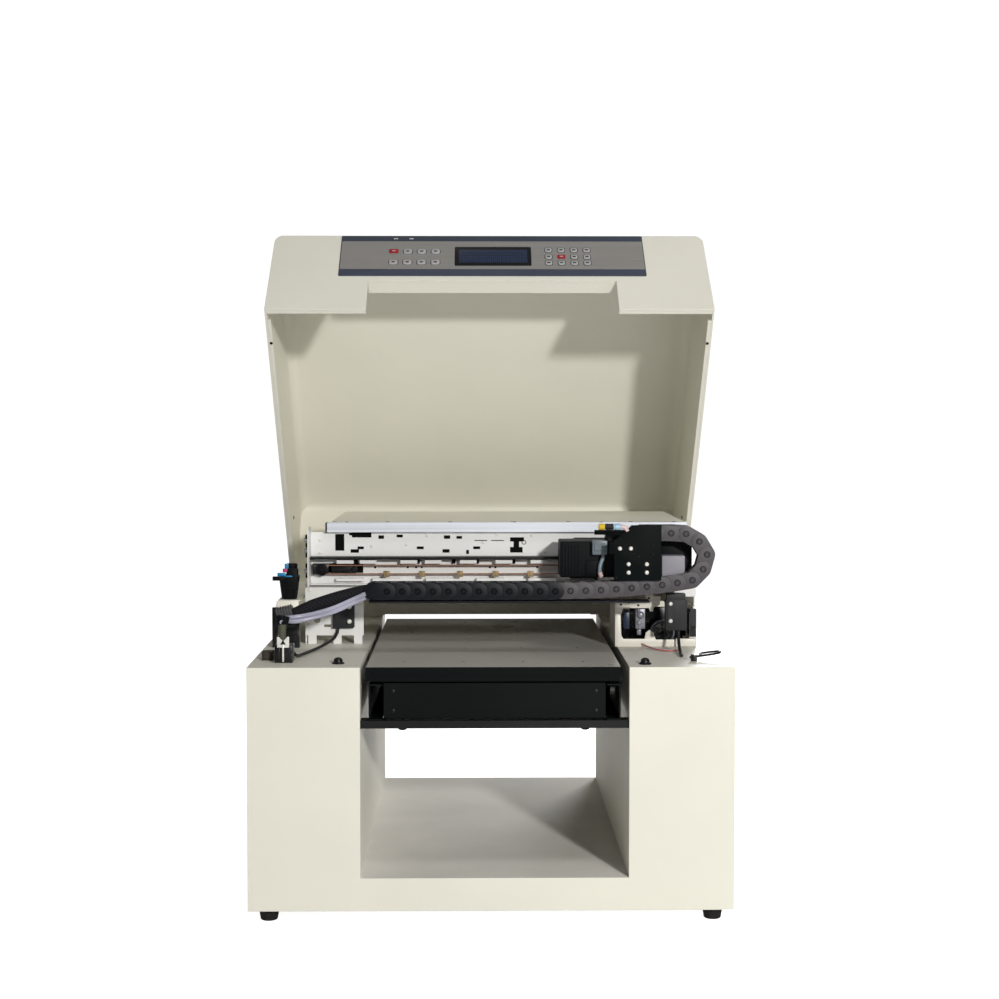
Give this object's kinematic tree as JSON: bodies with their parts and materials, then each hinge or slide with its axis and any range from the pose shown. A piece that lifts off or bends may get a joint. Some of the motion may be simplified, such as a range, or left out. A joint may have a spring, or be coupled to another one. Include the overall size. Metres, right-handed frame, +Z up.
{
  "type": "flatbed uv printer",
  "caption": "Desktop flatbed printer with a lift-up lid, sliding bed, travelling print carriage, drag chain and capping station on a tunnel base.",
  "frame": {"origin": "on the floor, under the middle of the whole object's box with the lid open", "axes": "+X to the right seen from the front, +Y to the back, +Z up"},
  "size_m": [0.64, 0.7112, 0.9401],
  "materials": {
    "cream_paint": "satin powder coat",
    "cream_light": "satin powder coat",
    "tunnel_grey": "fine textured powder coat",
    "white_paint": "satin",
    "rail_blue": "anodised",
    "black_steel": "satin black",
    "table_grey": "satin",
    "dark_steel": "oiled",
    "bright_steel": "machined",
    "foot_rubber": "matt",
    "black_plastic": "moulded",
    "chain_plastic": "moulded",
    "belt_rubber": "ribbed",
    "drive_belt": "ribbed",
    "sleeve": "braided",
    "tube": "clear lilac tube",
    "lamp_grey": "satin",
    "fitting_grey": "satin",
    "overlay": "printed film",
    "red_plastic": "satin",
    "board_green": "solder mask",
    "sensor_black": "satin",
    "fan_black": "moulded",
    "damper": "mixed caps"
  },
  "bodies": {
    "base": {"front_panel": "cream_paint", "side_panels": "cream_paint", "decks": "cream_light", "tunnel_walls": "cream_light", "tunnel_floor": "tunnel_grey", "bottom_plate": "cream_paint", "rear_panel": "cream_paint", "feet": "foot_rubber", "rear_bridge": "cream_light", "power_inlet": "black_plastic", "fan_frame": "fan_black", "cross_rails": "dark_steel", "slide_rails": "black_steel", "main_frame": "white_paint", "top_rail": "rail_blue", "guide_shelf": "dark_steel", "timing_belt": "belt_rubber", "drive_motors": "dark_steel", "rear_cover": "cream_light", "side_brackets": "white_paint", "side_cover": "cream_light", "waste_cup": "black_plastic", "hose_connector": "black_plastic", "hose_sleeve": "sleeve", "ink_tubes": "tube", "media_sensors": "sensor_black", "sensor_cables": "drive_belt", "capping_frame": "white_paint", "capping_base": "black_plastic", "chain_fixed_run": "black_plastic", "deck_knobs": "black_plastic", "electronics": "board_green", "hinge_blocks": "bright_steel", "bed_belt": "drive_belt"},
    "switch": {"power_switch": "red_plastic"},
    "fan": {"fan_rotor": "fan_black"},
    "idler": {"idler_pulley": "black_plastic"},
    "drive": {"drive_pulley": "bright_steel"},
    "carriage": {"carriage_plate": "black_steel", "carriage_body": "black_plastic", "print_head": "dark_steel", "uv_lamp": "lamp_grey", "ink_dampers": "damper"},
    "chain_roll": {"chain_loop": "chain_plastic"},
    "chain_a": {"chain_upper_a": "chain_plastic"},
    "chain_b": {"chain_upper_b": "chain_plastic"},
    "chain_c": {"chain_upper_c": "chain_plastic"},
    "bed": {"bed_box": "black_steel", "slide_blocks": "black_plastic"},
    "table": {"table_top": "table_grey"},
    "screw": {"lift_screw": "bright_steel"},
    "bed_drive": {"bed_pulley": "bright_steel"},
    "lid": {"lid_shell": "cream_paint", "lid_trim": "cream_paint", "control_panel": "overlay"},
    "power_button": {"power_key": "red_plastic"},
    "stop_button": {"stop_key": "red_plastic"},
    "cap": {"cap_slider": "fitting_grey"},
    "pump": {"pump_wheel": "black_plastic"},
    "bail": {"wire_loop": "black_plastic"}
  },
  "joints": [
    {"name": "carriage_slide", "type": "slide", "parent": "base", "child": "carriage", "axis": [1, 0, 0], "range_m": [-0.33, 0]},
    {"name": "idler_turn", "type": "hinge", "parent": "base", "child": "idler", "pos_m": [-0.24, -0.13061, 0.4507], "axis": [0, 1, 0], "range_deg": [-3200, 1]},
    {"name": "drive_turn", "type": "hinge", "parent": "base", "child": "drive", "pos_m": [0.262, -0.13061, 0.4507], "axis": [0, 1, 0], "range_deg": [-3200, 1]},
    {"name": "chain_roll_slide", "type": "slide", "parent": "base", "child": "chain_roll", "axis": [1, 0, 0], "range_m": [-0.166, 0]},
    {"name": "chain_a_slide", "type": "slide", "parent": "base", "child": "chain_a", "axis": [1, 0, 0], "range_m": [-0.1635, 0]},
    {"name": "chain_b_slide", "type": "slide", "parent": "base", "child": "chain_b", "axis": [1, 0, 0], "range_m": [-0.226, 0]},
    {"name": "chain_c_slide", "type": "slide", "parent": "base", "child": "chain_c", "axis": [1, 0, 0], "range_m": [-0.2885, 0]},
    {"name": "bed_slide", "type": "slide", "parent": "base", "child": "bed", "axis": [0, 1, 0], "range_m": [-0.36, 0.015]},
    {"name": "bed_drive_turn", "type": "hinge", "parent": "base", "child": "bed_drive", "pos_m": [0.16, 0.25639, 0.309], "axis": [1, 0, 0], "range_deg": [-3400, 150]},
    {"name": "table_lift", "type": "slide", "parent": "bed", "child": "table", "axis": [0, 0, 1], "range_m": [0, 0.03]},
    {"name": "screw_turn", "type": "hinge", "parent": "bed", "child": "screw", "pos_m": [0.003, -0.07061, 0.29], "axis": [0, 0, 1], "range_deg": [-10, 2710]},
    {"name": "lid_hinge", "type": "hinge", "parent": "base", "child": "lid", "pos_m": [0, 0.25639, 0.351], "axis": [1, 0, 0], "range_deg": [0, 51]},
    {"name": "power_key_press", "type": "slide", "parent": "lid", "child": "power_button", "axis": [0, 0.6293, -0.7771], "range_m": [0, 0.0004], "stiffness_N_per_m": 400},
    {"name": "stop_key_press", "type": "slide", "parent": "lid", "child": "stop_button", "axis": [0, 0.6293, -0.7771], "range_m": [0, 0.0004], "stiffness_N_per_m": 400},
    {"name": "cap_lift", "type": "slide", "parent": "base", "child": "cap", "axis": [0, 0, 1], "range_m": [-0.006, 0]},
    {"name": "pump_turn", "type": "hinge", "parent": "base", "child": "pump", "pos_m": [0.246, -0.14161, 0.362], "axis": [0, 1, 0], "continuous": true},
    {"name": "fan_turn", "type": "hinge", "parent": "base", "child": "fan", "pos_m": [0.25, 0.26439, 0.2], "axis": [0, 1, 0], "continuous": true},
    {"name": "switch_rock", "type": "hinge", "parent": "base", "child": "switch", "pos_m": [-0.219, 0.28139, 0.07], "axis": [1, 0, 0], "range_deg": [0, 8]},
    {"name": "bail_swing", "type": "hinge", "parent": "base", "child": "bail", "pos_m": [0.278, -0.30001, 0.347], "axis": [1, 0, 0], "range_deg": [0, 100]}
  ],
  "couplings": [
    {"joint": "idler_turn", "follows": "carriage_slide", "rad_per_m": 162.6},
    {"joint": "drive_turn", "follows": "carriage_slide", "rad_per_m": 162.6},
    {"joint": "chain_roll_slide", "follows": "carriage_slide", "ratio": 0.5},
    {"joint": "chain_a_slide", "follows": "carriage_slide", "ratio": 0.49394},
    {"joint": "chain_b_slide", "follows": "carriage_slide", "ratio": 0.68333},
    {"joint": "chain_c_slide", "follows": "carriage_slide", "ratio": 0.87273},
    {"joint": "bed_drive_turn", "follows": "bed_slide", "rad_per_m": 163.93},
    {"joint": "screw_turn", "follows": "table_lift", "rad_per_m": 1570.8}
  ]
}
